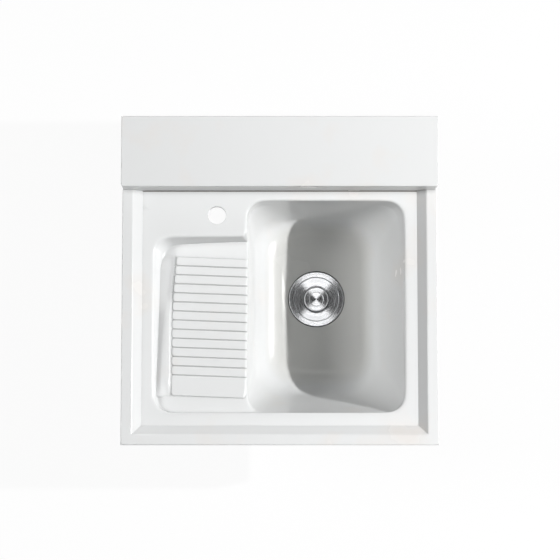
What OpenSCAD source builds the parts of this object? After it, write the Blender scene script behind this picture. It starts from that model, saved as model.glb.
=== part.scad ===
// Countertop laundry basin in cast white stone: a worktop with a raised drip rim and a rear shelf,
// a deep bowl and a sloping ribbed washboard tray in one casting, and a stainless basket strainer.
// Millimetres. The origin is the middle of the rear edge, on the plane where the unit sits on its
// cabinet. +X is right, +Y is towards the wall and +Z is up.

/* [Worktop] */
// Overall width
unit_w = 600; // [560:5:800]
// Overall depth, from front edge to wall
unit_d = 620; // [600:5:700]
// Thickness of the stone sheet
slab_t = 12; // [10:1:20]
// Height of the skirt that thickens the worktop's edge and rests on the cabinet
skirt_h = 28; // [15:1:60]
// Thickness of the skirt
skirt_t = 18; // [12:1:24]

/* [Raised rim] */
// Width of the rim's flat top
rim_flat = 20; // [12:1:30]
// Width of the rim's inward slope
rim_slope = 18; // [10:1:24]
// Height of the rim above the worktop
rim_rise = 15; // [6:1:25]

/* [Rear shelf] */
// Depth of the shelf, from the wall to its front face
shelf_d = 135; // [100:5:150]
// Height of the shelf's top above the worktop
shelf_rise = 69; // [40:1:100]
// Thickness of the shelf's stone panels
shelf_t = 12; // [10:1:20]

/* [Tap hole] */
// Diameter of the tap hole
tap_hole_d = 35; // [32:0.5:38]
// Distance of the tap hole from the middle of the unit, to the left
tap_offset = 120; // [100:1:135]
// Distance of the tap hole's centre from the shelf's front face
tap_gap = 44; // [30:1:50]
// Plain ledge between the shelf's front face and the tray, where the tap stands
tap_ledge = 86; // [80:1:110]

/* [Bowl] */
// Plain worktop between the bowl and the foot of the right rim
bowl_side_margin = 25; // [22:1:40]
// Plain worktop between the bowl and the foot of the front rim
bowl_front_margin = 25; // [22:1:40]
// Plain worktop between the bowl and the shelf's front face
bowl_rear_margin = 16; // [12:1:30]
// Width of the bowl's mouth
bowl_w = 300; // [280:1:320]
// Depth from the worktop to the bowl's floor
bowl_depth = 200; // [160:1:240]
// Corner radius of the bowl's mouth
bowl_corner_r = 33; // [20:1:45]
// Corner radius that the walls widen to at the floor, before the floor's fillet
bowl_foot_r = 70; // [55:1:80]
// How far the left wall leans in over the whole depth
lean_left = 17; // [5:1:25]
// How far the right wall leans in
lean_right = 50; // [20:1:60]
// How far the front wall leans in
lean_front = 59; // [20:1:70]
// How far the rear wall leans in
lean_rear = 8; // [2:1:20]
// Fillet between the left wall and the floor
fillet_left = 50; // [30:1:60]
// Fillet between the right wall and the floor
fillet_right = 30; // [20:1:40]
// Fillet between the front wall and the floor
fillet_front = 45; // [25:1:55]
// Fillet between the rear wall and the floor
fillet_rear = 30; // [20:1:40]
// How far the floor falls to the waste
floor_fall = 4; // [2:0.5:8]
// Wall of the casting
cast_wall = 8; // [6:0.5:12]
// Width of the casting's flange under the worktop
lip_w = 20; // [12:1:22]
// Thickness of that flange
lip_t = 8; // [6:1:12]

/* [Washboard tray] */
// Plain worktop between the tray and the foot of the left rim
tray_side_margin = 22; // [22:1:40]
// Corner radius of the tray
tray_corner_r = 32; // [15:1:40]
// Radius of the corner where the tray opens into the bowl
tray_inner_r = 13; // [6:1:20]
// Depth of the tray's floor at the rear
tray_depth_rear = 38; // [28:1:45]
// Depth of the tray's floor at the front
tray_depth_front = 14; // [13:0.5:20]
// Slope of the tray's left wall, from upright
tray_draft = 40; // [10:1:45]
// How far the tray's rear wall leans in
tray_rear_lean = 6; // [2:1:10]

/* [Washboard] */
// Plain channel between the tray's left edge and the board
board_gap = 36; // [35:1:38]
// Distance of the board's rear end from the tray's rear edge
board_rear_gap = 33; // [30:1:38]
// Distance of the board's front end from the tray's front edge
board_front_gap = 33; // [30:1:50]
// Plain band at the board's front end
board_band = 40; // [20:1:60]
// Turn of the board in plan
board_skew = 2.2; // [0:0.1:3]
// Height of the board's bed over the tray's floor
bed_h = 2; // [1:0.5:3]
// Number of ribs
rib_count = 13; // [8:1:13]
// Height of a rib's crown over the bed
rib_h = 3; // [2:0.5:4]

/* [Waste] */
// Distance of the waste's centre from the bowl's left edge
waste_from_left = 135.5; // [125:0.5:145]
// Distance of the waste's centre from the bowl's rear edge
waste_from_rear = 163; // [140:1:220]
// Diameter of the strainer's flange
flange_d = 110; // [108:0.5:114]
// Depth of the seat that the flange sinks into
flange_seat = 3; // [2.5:0.1:3.5]
// Thickness of the pressed steel
steel_t = 1.2; // [1:0.1:1.5]
// Inner diameter of the strainer's mouth
mouth_d = 87.6; // [86:0.2:88]
// Depth of the step that the lid's seal rests on
lid_step = 8; // [7:0.5:9]
// Further depth of the step that the basket hangs from
basket_step = 5; // [4:0.5:7]
// Width of each step
step_w = 2.6; // [2.4:0.1:3]
// Depth of the strainer cup
cup_h = 48; // [44:1:60]
// Gap between parts that lift out and what they sit in
lift_gap = 0.5; // [0.3:0.1:0.8]

/* [Lid and basket] */
// Diameter of the knob on the lid
knob_d = 48.8; // [40:0.2:54]
// Diameter of the dished centre of the knob
knob_dish_d = 27.6; // [20:0.2:30]
// Height of the gap between the lid and its knob
finger_gap = 4; // [3:0.5:5]
// Thickness of the lid's rubber seal
seal_t = 2; // [1.5:0.1:2.5]
// Depth of the basket, under its rim
basket_h = 27; // [20:1:28]
// Diameter of the basket's drain holes
basket_hole_d = 4.4; // [3:0.2:4.8]
// Number of rows of holes round the basket
basket_rows = 4; // [2:1:4]
// Number of holes in a row
basket_row_holes = 20; // [12:2:20]

/* [Drain housing] */
// Thickness of the gasket over the stone
gasket_t = 1.5; // [1:0.1:2]
// Thickness of the gasket under the stone
lower_gasket_t = 3; // [2:0.5:4]
// Wall of the plastic housing
housing_wall = 2.5; // [2:0.1:3.5]
// Free height under the strainer cup
sump_h = 10; // [8:1:20]
// Height of the housing's funnel
funnel_h = 16; // [12:1:24]
// Outer diameter of the housing's threaded spigot
spigot_d = 47.8; // [46:0.2:48.6]
// Length of the spigot
spigot_l = 22; // [18:1:30]
// Outer diameter of the tailpiece
tail_d = 40; // [38:0.5:40.6]
// Wall of the tailpiece
tail_wall = 1.8; // [1.5:0.1:2.2]
// Length of the tailpiece under its collar
tail_l = 70; // [50:5:120]
// Diameter of the centre screw
screw_d = 6; // [5:0.5:8]
// Thickness of the tailpiece's washer
tail_washer_t = 3; // [2:0.5:4]

/* [Hidden] */
$fn = 96;
stone = [0.93, 0.93, 0.92];
steel = [0.72, 0.73, 0.75];
black = [0.16, 0.16, 0.17];
plastic = [0.88, 0.88, 0.87];
eps = 0.01;

// Levels and plan lines of the stonework
top_z = skirt_h + slab_t;
half_w = unit_w / 2;
rim_w = rim_flat + rim_slope;
shelf_y = -shelf_d;
shelf_top_z = top_z + shelf_rise;
inner_x = half_w - rim_w;
bowl_x1 = inner_x - bowl_side_margin;
bowl_x0 = bowl_x1 - bowl_w;
bowl_y0 = -unit_d + rim_w + bowl_front_margin;
bowl_y1 = shelf_y - bowl_rear_margin;
tray_x0 = tray_side_margin - inner_x;
tray_y1 = shelf_y - tap_ledge;
tray_w = bowl_x0 - tray_x0;
tray_l = tray_y1 - bowl_y0;
tray_reach = 80;
board_w = tray_w - board_gap;
board_l = tray_l - board_rear_gap - board_front_gap;
rib_pitch = (board_l - board_band) / rib_count;
tap_x = -tap_offset;
tap_y = shelf_y - tap_gap;

// The casting starts under the slab, so its depths count from there
cast_depth = bowl_depth - slab_t;
fillet_most = max(fillet_left, fillet_right, fillet_front, fillet_rear);
fillet_steps = 9;
slice_fn = 40;
tray_tilt = atan((tray_depth_rear - tray_depth_front) / tray_l);
big = 2 * unit_d;

// The waste, from the bowl's floor down
waste_x = bowl_x0 + waste_from_left;
waste_y = bowl_y1 - waste_from_rear;
floor_z = top_z - bowl_depth;
waste_z = floor_z - floor_fall;
seat_z = waste_z - flange_seat;
flange_r = flange_d / 2;
seat_gap = 2;
flange_z = seat_z + gasket_t;
mouth_r = mouth_d / 2;
cup_r = mouth_r + steel_t;
hole_gap = 1.5;
stone_hole_r = cup_r + hole_gap;
boss_lap = 7;
boss_t = 3;
boss_r = flange_r + boss_lap;
boss_z = waste_z - cast_wall - boss_t;
lid_ledge_z = flange_z - lid_step;
basket_ledge_z = lid_ledge_z - basket_step;
lid_bore_r = mouth_r - step_w;
basket_bore_r = lid_bore_r - step_w;
cup_floor_z = flange_z - cup_h;
gasket_in = 1;
gasket_back = 2;
gasket_out_r = flange_r - gasket_back;
flange_edge_h = 0.8;
flange_bead_w = 4;
flange_bead_h = 2.4;
flange_fall_w = 3;
mouth_round = 1.5;
// Rings of drain holes, each as the number of holes and the ring's radius
cup_rings = [[8, 14], [12, 21], [18, 30]];
cup_hole_r = 2.6;
basket_rings = [[8, 13], [14, 20], [20, 27]];
gasket_z = boss_z - lower_gasket_t;

// The housing under the stone
housing_r = stone_hole_r + gasket_in;
housing_rim_w = 6;
housing_rim_r = housing_r + housing_wall + housing_rim_w;
housing_rim_t = 4;
sump_z = cup_floor_z - sump_h;
spigot_z = sump_z - funnel_h;
spigot_r = spigot_d / 2;
spigot_wall = 3.6;
spigot_bore_r = spigot_r - spigot_wall;
spigot_end_z = spigot_z - spigot_l;
screw_r = screw_d / 2;
screw_play = 0.2;
screw_head_r = 2 * screw_r;
screw_head_h = 3;
screw_slot_w = 1.2;
screw_slot_h = 1.4;
nut_boss_wall = 5;
nut_boss_r = screw_r + nut_boss_wall;
nut_boss_h = 14;
nut_sink = 2;
nut_z = sump_z - nut_sink;
nut_h = 8;
nut_pocket_r = nut_boss_r - 2;
nut_r = nut_pocket_r - screw_play;
thread_play = 0.05;
web_t = 3;
web_count = 3;
tail_collar_t = 2.5;
tail_collar_back = 0.4;
tail_collar_r = spigot_r - tail_collar_back;
tail_r = tail_d / 2;
tail_z = spigot_end_z - tail_washer_t;
tail_relief = 0.5;
tail_relief_l = 6;
thread_gap = 0.25;
coupling_wall = 4;
coupling_r = spigot_r + thread_gap + coupling_wall;
coupling_lip = 3;
coupling_cover = 14;
grip_count = 12;
grip_w = 4;
grip_h = 1.6;
grip_sink = 1;

// The pieces that lift out
lid_r = mouth_r - lift_gap;
seal_lap = 0.3;
seal_in_r = lid_bore_r + seal_lap;
lid_z = lid_ledge_z + seal_t;
lid_rim_h = 5;
lid_rim_w = 3.5;
lid_round = 1;
lid_dish_r = 33;
lid_dish_rise = 0.4;
lid_dish_z = lid_z + lid_dish_rise;
knob_r = knob_d / 2;
knob_t = 2.2;
knob_round = 1;
knob_lip = 0.6;
knob_neck_r = 9;
knob_z = lid_dish_z + steel_t + finger_gap;
basket_r = basket_bore_r - lift_gap;
basket_rim_r = lid_bore_r - lift_gap;
basket_taper = 2;
basket_floor_z = basket_ledge_z - basket_h;
basket_t = 1;
post_r = 3;
post_knob_r = 7;
post_knob_h = 6;
post_foot_w = 2;
post_head_gap = 2;
post_top_z = lid_z - post_head_gap;

// Plan outline of a box between two corners, with one radius on its four corners
module round_box(x0, y0, x1, y1, r) {
    translate([x0, y0 + r]) square([x1 - x0, y1 - y0 - 2 * r]);
    translate([x0 + r, y0]) square([x1 - x0 - 2 * r, y1 - y0]);
    for (x = [x0 + r, x1 - r], y = [y0 + r, y1 - r]) translate([x, y]) circle(r);
}

// The inside corner where the worktop's tongue ends between tray and bowl, rounded
module tongue_corner() {
    difference() {
        translate([bowl_x0 - tray_inner_r, tray_y1 - eps])
            square([tray_inner_r + eps, tray_inner_r + eps]);
        translate([bowl_x0 - tray_inner_r, tray_y1 + tray_inner_r]) circle(tray_inner_r);
    }
}

// Plan outline of the opening in the worktop: bowl and tray together
module opening() {
    round_box(bowl_x0, bowl_y0, bowl_x1, bowl_y1, bowl_corner_r);
    round_box(tray_x0, bowl_y0, bowl_x0 + tray_reach, tray_y1, tray_corner_r);
    tongue_corner();
}

// Plain stone block between two corners
module block(lo, hi) {
    translate(lo) cube(hi - lo);
}

// Inset of one bowl wall at a depth: its lean, then a quarter round into the floor
function inset(d, lean, r) =
    lean * d / cast_depth
    + (d > cast_depth - r ? r - sqrt(max(0, r * r - pow(d - cast_depth + r, 2))) : 0);

function corner_at(d) =
    bowl_corner_r + (bowl_foot_r - bowl_corner_r) * d / cast_depth
    - inset(d, 0, fillet_rear);

// Depths of the bowl's cross-sections: one straight stretch, then closer along the fillet
depths = concat(
    [0],
    [for (i = [0:fillet_steps])
        cast_depth - fillet_most + fillet_most * sin(90 * i / fillet_steps)]
);

// One thin cross-section of the bowl, grown outwards by the casting's wall for its outside
module bowl_slice(d, grow) {
    translate([0, 0, skirt_h - eps - d * (cast_depth + grow) / cast_depth])
        linear_extrude(eps)
            round_box(
                bowl_x0 + inset(d, lean_left, fillet_left) - grow,
                bowl_y0 + inset(d, lean_front, fillet_front) - grow,
                bowl_x1 - inset(d, lean_right, fillet_right) + grow,
                bowl_y1 - inset(d, lean_rear, fillet_rear) + grow,
                corner_at(d) + grow,
                $fn = slice_fn
            );
}

// The bowl as a solid: a loft through its cross-sections, then the fall to the waste
module bowl_form(grow) {
    for (i = [0:len(depths) - 2]) hull() {
        bowl_slice(depths[i], grow);
        bowl_slice(depths[i + 1], grow);
    }
    hull() {
        bowl_slice(cast_depth, grow);
        translate([waste_x, waste_y, waste_z - grow])
            cylinder(r = flange_r + seat_gap, h = eps, $fn = slice_fn);
    }
}

// Everything above the tray's tilted floor, raised by the given height
module above_tray(raise) {
    translate([0, tray_y1, top_z - tray_depth_rear]) rotate([-tray_tilt, 0, 0])
        translate([-big / 2, -big, raise]) cube([big, 2 * big, big]);
}

// The tray as a solid: a pocket with drafted walls, cut off along the tilted floor
module tray_form(grow) {
    low = tray_depth_rear + grow;
    run = tan(tray_draft) * low;
    intersection() {
        hull() {
            translate([0, 0, skirt_h - eps]) linear_extrude(eps)
                round_box(tray_x0 - grow, bowl_y0 - grow, bowl_x0 + tray_reach, tray_y1 + grow,
                    tray_corner_r + grow, $fn = slice_fn);
            translate([0, 0, skirt_h - low]) linear_extrude(eps)
                round_box(tray_x0 - grow + run, bowl_y0 - grow, bowl_x0 + tray_reach,
                    tray_y1 + grow - tray_rear_lean, tray_corner_r + grow, $fn = slice_fn);
        }
        above_tray(-grow);
    }
}

// One rib of the washboard: a low crown with a rounded left end
module rib() {
    crown_r = (rib_pitch * rib_pitch / 4 + rib_h * rib_h) / (2 * rib_h);
    intersection() {
        translate([0, 0, rib_h - crown_r]) rotate([0, 90, 0])
            cylinder(r = crown_r, h = board_w, $fn = 72);
        linear_extrude(rib_h + bed_h) {
            translate([rib_pitch / 2, -rib_pitch / 2]) square([board_w, rib_pitch]);
            translate([rib_pitch / 2, 0]) circle(d = rib_pitch, $fn = 24);
        }
    }
}

// The washboard: a flat bed on the tray's floor with a row of ribs from its rear end
module washboard() {
    intersection() {
        translate([tray_x0 + board_gap, tray_y1, top_z - tray_depth_rear])
            rotate([-tray_tilt, 0, 0]) translate([0, -board_rear_gap, 0])
            rotate([0, 0, -board_skew]) {
                translate([rib_pitch / 2, -board_l, -bed_h])
                    cube([board_w, board_l, 2 * bed_h]);
                for (i = [0:rib_count - 1])
                    translate([0, -rib_pitch * (i + 0.5), bed_h]) rib();
            }
        translate([bowl_x0 - big, -big, floor_z]) cube([big, big, bowl_depth]);
    }
}

module worktop() {
    color(stone) difference() {
        block([-half_w, -unit_d, skirt_h], [half_w, 0, top_z]);
        translate([0, 0, skirt_h - 1]) linear_extrude(slab_t + 2) opening();
        translate([tap_x, tap_y, skirt_h - 1]) cylinder(d = tap_hole_d, h = slab_t + 2);
    }
}

module basin() {
    color(stone) {
        difference() {
            union() {
                translate([0, 0, skirt_h - lip_t]) linear_extrude(lip_t)
                    offset(r = lip_w) opening($fn = slice_fn);
                bowl_form(cast_wall);
                tray_form(cast_wall);
                translate([waste_x, waste_y, boss_z])
                    cylinder(r = boss_r, h = waste_z - boss_z);
            }
            bowl_form(0);
            tray_form(0);
            translate([0, 0, skirt_h - lip_t - eps]) linear_extrude(lip_t + 1)
                opening($fn = slice_fn);
            intersection() {
                translate([0, 0, floor_z]) linear_extrude(bowl_depth) tongue_corner();
                above_tray(0);
            }
            translate([waste_x, waste_y, seat_z])
                cylinder(r = flange_r + seat_gap, h = 4 * flange_seat);
            translate([waste_x, waste_y, boss_z - 1])
                cylinder(r = stone_hole_r, h = cast_depth);
        }
        washboard();
    }
}

// Cross-section of the rim: flat top outside, slope down to the worktop inside
module rim_profile() {
    polygon([[0, 0], [rim_w, 0], [rim_flat, rim_rise], [0, rim_rise]]);
}

module left_rim() {
    color(stone) intersection() {
        translate([-half_w, shelf_y, top_z]) rotate([90, 0, 0])
            linear_extrude(unit_d - shelf_d) rim_profile();
        translate([0, 0, top_z]) linear_extrude(rim_rise) polygon([
            [-half_w, shelf_y], [-inner_x, shelf_y],
            [-inner_x, rim_w - unit_d], [-half_w, -unit_d]
        ]);
    }
}

module right_rim() {
    color(stone) mirror([1, 0, 0]) left_rim();
}

module front_rim() {
    color(stone) intersection() {
        translate([-half_w, -unit_d, top_z]) rotate([90, 0, 90])
            linear_extrude(unit_w) rim_profile();
        translate([0, 0, top_z]) linear_extrude(rim_rise) polygon([
            [-half_w, -unit_d], [-inner_x, rim_w - unit_d],
            [inner_x, rim_w - unit_d], [half_w, -unit_d]
        ]);
    }
}

module shelf_top() {
    color(stone)
        block([-half_w, shelf_y, shelf_top_z - shelf_t], [half_w, 0, shelf_top_z]);
}

module shelf_riser() {
    color(stone)
        block([-half_w, shelf_y, top_z], [half_w, shelf_y + shelf_t, shelf_top_z - shelf_t]);
}

module shelf_back() {
    color(stone) block([-half_w, -shelf_t, top_z], [half_w, 0, shelf_top_z - shelf_t]);
}

module shelf_left_end() {
    color(stone) block(
        [-half_w, shelf_y + shelf_t, top_z],
        [shelf_t - half_w, -shelf_t, shelf_top_z - shelf_t]
    );
}

module shelf_right_end() {
    color(stone) mirror([1, 0, 0]) shelf_left_end();
}

module front_skirt() {
    color(stone) block([-half_w, -unit_d, 0], [half_w, skirt_t - unit_d, skirt_h]);
}

module rear_skirt() {
    color(stone) block([-half_w, -skirt_t, 0], [half_w, 0, skirt_h]);
}

module left_skirt() {
    color(stone)
        block([-half_w, skirt_t - unit_d, 0], [skirt_t - half_w, -skirt_t, skirt_h]);
}

module right_skirt() {
    color(stone) mirror([1, 0, 0]) left_skirt();
}

// Flat ring on the waste's axis, from its underside up
module ring(z, h, r_in, r_out) {
    translate([waste_x, waste_y, z]) difference() {
        cylinder(r = r_out, h = h);
        translate([0, 0, -1]) cylinder(r = r_in, h = h + 2);
    }
}

// A turned or pressed piece on the waste's axis, from its half outline
module turned(outline) {
    translate([waste_x, waste_y, 0]) rotate_extrude() polygon(outline);
}

module flange_gasket() {
    color(black) ring(seat_z, gasket_t, stone_hole_r, gasket_out_r);
}

// The pressed cup: a domed flange, a step for the lid, a step for the basket, a drilled floor
module strainer_cup() {
    bead_z = flange_z + flange_bead_h;
    edge_z = flange_z + flange_edge_h;
    bead_r = flange_r - flange_bead_w;
    fall_r = bead_r - flange_fall_w;
    color(steel) difference() {
        turned([
            [0, cup_floor_z], [basket_bore_r + steel_t, cup_floor_z],
            [basket_bore_r + steel_t, basket_ledge_z - steel_t],
            [lid_bore_r + steel_t, basket_ledge_z - steel_t],
            [lid_bore_r + steel_t, lid_ledge_z - steel_t],
            [cup_r, lid_ledge_z - steel_t], [cup_r, flange_z],
            [flange_r, flange_z], [flange_r, edge_z],
            [flange_r - flange_edge_h, (edge_z + bead_z) / 2], [bead_r, bead_z],
            [fall_r, bead_z], [mouth_r + mouth_round, (flange_z + bead_z) / 2],
            [mouth_r, flange_z], [mouth_r, lid_ledge_z], [lid_bore_r, lid_ledge_z],
            [lid_bore_r, basket_ledge_z], [basket_bore_r, basket_ledge_z],
            [basket_bore_r, cup_floor_z + steel_t], [0, cup_floor_z + steel_t]
        ]);
        translate([waste_x, waste_y, cup_floor_z - 1]) {
            cylinder(r = screw_r + screw_play, h = steel_t + 2);
            for (row = cup_rings, i = [0:row[0] - 1])
                rotate([0, 0, 360 * i / row[0]]) translate([row[1], 0, 0])
                    cylinder(r = cup_hole_r, h = steel_t + 2, $fn = 32);
        }
    }
}

module lower_gasket() {
    color(black)
        ring(gasket_z, lower_gasket_t, housing_r, housing_rim_r - gasket_in);
}

// The moulded housing: a rim under the gasket, a sump, a funnel and a spigot with a screw boss
module drain_housing() {
    color(plastic) {
        turned([
            [housing_r, gasket_z], [housing_rim_r, gasket_z],
            [housing_rim_r, gasket_z - housing_rim_t],
            [housing_r + housing_wall, gasket_z - housing_rim_t],
            [housing_r + housing_wall, sump_z], [spigot_r, spigot_z],
            [spigot_r, spigot_end_z], [spigot_bore_r, spigot_end_z],
            [spigot_bore_r, spigot_z], [housing_r, sump_z]
        ]);
        difference() {
            translate([waste_x, waste_y, 0]) {
                translate([0, 0, sump_z - nut_boss_h]) cylinder(r = nut_boss_r, h = nut_boss_h);
                intersection() {
                    for (i = [1:web_count]) rotate([0, 0, 360 * i / web_count])
                        translate([0, -web_t / 2, sump_z - nut_boss_h])
                            cube([housing_r + housing_wall / 2, web_t, nut_boss_h]);
                    translate([0, 0, spigot_z])
                        cylinder(
                            r1 = spigot_bore_r + housing_wall / 2,
                            r2 = housing_r + housing_wall / 2,
                            h = funnel_h
                        );
                }
            }
            translate([waste_x, waste_y, sump_z - nut_boss_h - 1])
                cylinder(r = screw_r + screw_play, h = nut_boss_h + 2);
            translate([waste_x, waste_y, nut_z - nut_h])
                cylinder(r = nut_pocket_r, h = cup_h, $fn = 6);
        }
    }
}

// Brass nut in the housing's boss
module screw_nut() {
    color("goldenrod") translate([waste_x, waste_y, nut_z - nut_h]) difference() {
        cylinder(r = nut_r, h = nut_h, $fn = 6);
        translate([0, 0, -1]) cylinder(r = screw_r + thread_play, h = nut_h + 2);
    }
}

module centre_screw() {
    head_z = cup_floor_z + steel_t;
    color(steel) translate([waste_x, waste_y, 0]) {
        translate([0, 0, nut_z - nut_h]) cylinder(r = screw_r, h = head_z - nut_z + nut_h);
        difference() {
            translate([0, 0, head_z]) cylinder(r = screw_head_r, h = screw_head_h);
            translate([-screw_slot_w / 2, -screw_head_r, head_z + screw_head_h - screw_slot_h])
                cube([screw_slot_w, 2 * screw_head_r, 2 * screw_slot_h]);
        }
    }
}

module tail_washer() {
    color(black) ring(tail_z, tail_washer_t, spigot_bore_r, tail_collar_r);
}

// The outlet pipe: a collar that the nut holds, a shallow relief under it, then the plain pipe
module tailpiece() {
    collar_z = tail_z - tail_collar_t;
    relief_r = tail_r - tail_relief;
    relief_z = collar_z - tail_relief_l;
    color(plastic) turned([
        [tail_r - tail_wall, collar_z - tail_l], [tail_r, collar_z - tail_l],
        [tail_r, relief_z], [relief_r, relief_z], [relief_r, collar_z],
        [tail_collar_r, collar_z], [tail_collar_r, tail_z], [tail_r - tail_wall, tail_z]
    ]);
}

// The nut that draws the tailpiece to the spigot, with grip ribs round it
module coupling_nut() {
    nut_low_z = tail_z - tail_collar_t - coupling_lip;
    nut_top_z = spigot_end_z + coupling_cover;
    color(plastic) {
        turned([
            [tail_r + thread_gap, nut_low_z], [coupling_r, nut_low_z],
            [coupling_r, nut_top_z], [spigot_r + thread_gap, nut_top_z],
            [spigot_r + thread_gap, nut_low_z + coupling_lip],
            [tail_r + thread_gap, nut_low_z + coupling_lip]
        ]);
        translate([waste_x, waste_y, nut_low_z])
            for (i = [1:grip_count]) rotate([0, 0, 360 * i / grip_count])
                translate([coupling_r - grip_sink, -grip_w / 2, 0])
                cube([grip_sink + grip_h, grip_w, nut_top_z - nut_low_z]);
    }
}

// The lift-out basket: a rolled rim, a tapered drilled wall and a drilled floor
module basket() {
    foot_r = basket_r - basket_taper;
    row_h = (basket_h - 3 * basket_hole_d / 2) / basket_rows;
    color(steel) difference() {
        turned([
            [0, basket_floor_z], [foot_r, basket_floor_z], [basket_r, basket_ledge_z],
            [basket_rim_r, basket_ledge_z], [basket_rim_r, basket_ledge_z + basket_t],
            [basket_r - basket_t, basket_ledge_z + basket_t],
            [foot_r - basket_t, basket_floor_z + basket_t], [0, basket_floor_z + basket_t]
        ]);
        translate([waste_x, waste_y, basket_floor_z]) {
            for (k = [0:basket_rows - 1], i = [0:basket_row_holes - 1])
                rotate([0, 0, 180 / basket_row_holes * (2 * i + k % 2)])
                    translate([foot_r - 3 * basket_t, 0, basket_hole_d + row_h * k])
                    rotate([0, 90, 0])
                    cylinder(d = basket_hole_d, h = 6 * basket_t, $fn = 24);
            for (row = basket_rings, i = [0:row[0] - 1])
                rotate([0, 0, 360 * i / row[0]]) translate([row[1], 0, -1])
                    cylinder(d = basket_hole_d, h = basket_t + 2, $fn = 24);
        }
    }
}

// The post in the basket that it is lifted by
module basket_post() {
    foot_z = basket_floor_z + basket_t;
    color(steel) turned([
        [0, foot_z], [post_knob_r + post_foot_w, foot_z],
        [post_knob_r + post_foot_w, foot_z + basket_t],
        [post_r, foot_z + 2 * basket_t], [post_r, post_top_z - post_knob_h],
        [post_knob_r, post_top_z - post_knob_h / 2], [post_knob_r, post_top_z - post_knob_h / 6],
        [post_knob_r - post_knob_h / 3, post_top_z], [0, post_top_z]
    ]);
}

// The pressed lid: a raised rim, a dished ring and a flat centre
module lid() {
    color(steel) turned([
        [0, lid_dish_z], [lid_dish_r, lid_dish_z],
        [seal_in_r - lid_round, lid_z + lid_rim_h - 2 * steel_t],
        [seal_in_r, lid_z], [lid_r, lid_z], [lid_r, lid_z + lid_rim_h - lid_round],
        [lid_r - lid_round, lid_z + lid_rim_h], [lid_r - lid_rim_w, lid_z + lid_rim_h],
        [lid_dish_r, lid_dish_z + steel_t], [0, lid_dish_z + steel_t]
    ]);
}

// The knob: a neck under a wide disc with a dished centre
module lid_knob() {
    dish_r = knob_dish_d / 2;
    color(steel) turned([
        [0, lid_dish_z + steel_t], [knob_neck_r, lid_dish_z + steel_t],
        [knob_neck_r, knob_z], [knob_r, knob_z], [knob_r, knob_z + knob_t / 2],
        [knob_r - knob_round, knob_z + knob_t], [dish_r + knob_lip, knob_z + knob_t + knob_lip],
        [dish_r, knob_z + knob_t], [0, knob_z + knob_t / 2]
    ]);
}

module lid_seal() {
    color(black) ring(lid_ledge_z, seal_t, seal_in_r, lid_r);
}

worktop();
basin();
left_rim();
front_rim();
right_rim();
shelf_top();
shelf_riser();
shelf_back();
shelf_left_end();
shelf_right_end();
front_skirt();
rear_skirt();
left_skirt();
right_skirt();
flange_gasket();
strainer_cup();
lower_gasket();
drain_housing();
screw_nut();
centre_screw();
tail_washer();
tailpiece();
coupling_nut();
basket();
basket_post();
lid();
lid_knob();
lid_seal();
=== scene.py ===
# %% [markdown]
# # A countertop laundry basin
# The object is one casting of white quartz composite: a worktop with a raised rim, a shelf along
# the wall, a deep bowl, and a sloping washboard tray that empties into the bowl. A stainless
# strainer sits in the bowl's floor. The measured model is loaded first and stays fixed; each
# piece below is built in its place around it.

# %% Load the measured model and note its box
import math

import bmesh
import bpy
from mathutils import Matrix, Vector


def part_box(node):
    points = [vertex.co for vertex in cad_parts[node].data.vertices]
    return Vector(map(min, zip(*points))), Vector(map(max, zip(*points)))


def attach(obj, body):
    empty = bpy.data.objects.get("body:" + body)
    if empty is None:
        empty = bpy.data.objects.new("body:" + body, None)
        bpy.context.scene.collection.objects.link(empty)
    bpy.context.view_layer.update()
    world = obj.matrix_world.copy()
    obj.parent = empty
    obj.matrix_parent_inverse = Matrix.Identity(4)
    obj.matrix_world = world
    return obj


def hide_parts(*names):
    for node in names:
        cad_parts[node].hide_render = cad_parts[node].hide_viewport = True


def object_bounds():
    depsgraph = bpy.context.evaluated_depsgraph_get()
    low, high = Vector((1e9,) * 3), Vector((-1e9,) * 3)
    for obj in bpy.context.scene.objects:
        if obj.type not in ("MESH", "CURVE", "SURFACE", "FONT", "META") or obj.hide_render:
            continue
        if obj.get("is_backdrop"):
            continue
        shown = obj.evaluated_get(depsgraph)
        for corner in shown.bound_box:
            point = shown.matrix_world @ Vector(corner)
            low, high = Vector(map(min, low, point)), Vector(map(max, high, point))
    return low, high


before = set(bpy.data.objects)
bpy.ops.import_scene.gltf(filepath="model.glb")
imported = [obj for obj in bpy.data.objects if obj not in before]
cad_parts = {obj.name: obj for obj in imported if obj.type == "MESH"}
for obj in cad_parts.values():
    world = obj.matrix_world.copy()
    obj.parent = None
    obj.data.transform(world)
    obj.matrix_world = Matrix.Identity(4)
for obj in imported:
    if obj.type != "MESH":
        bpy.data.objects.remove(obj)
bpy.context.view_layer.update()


# %% [markdown]
# Every length below is written in millimetres, as on a workshop drawing, and turned into
# Blender's metres by one helper. The plan positions are those of the measured model: x to the
# right, y towards the wall, z up, with zero at the middle of the rear edge on the cabinet's top.

# %% Lengths and levels
def mm(*values):
    """Millimetres as metres: one number, or a tuple of them."""
    metres = tuple(v * 0.001 for v in values)
    return metres[0] if len(metres) == 1 else metres


SAME = mm(0.01)  # places nearer than this count as one
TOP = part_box("worktop")[1].z
HALF_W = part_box("worktop")[1].x
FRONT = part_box("worktop")[0].y
SHELF_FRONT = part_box("shelf_top")[0].y
RIM_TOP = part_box("left_rim")[1].z
RIM_FLAT, RIM_WIDE = mm(20, 38)
print("worktop level", round(TOP, 4), "front edge", round(FRONT, 4))
print("shelf's front", round(SHELF_FRONT, 4), "rim's top", round(RIM_TOP, 4))

# %% [markdown]
# The photograph looks almost straight down, from a little way in front of the object, through a
# long lens. A long lens keeps the rim's edges parallel, so the camera stands nearly five metres
# away.

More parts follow.
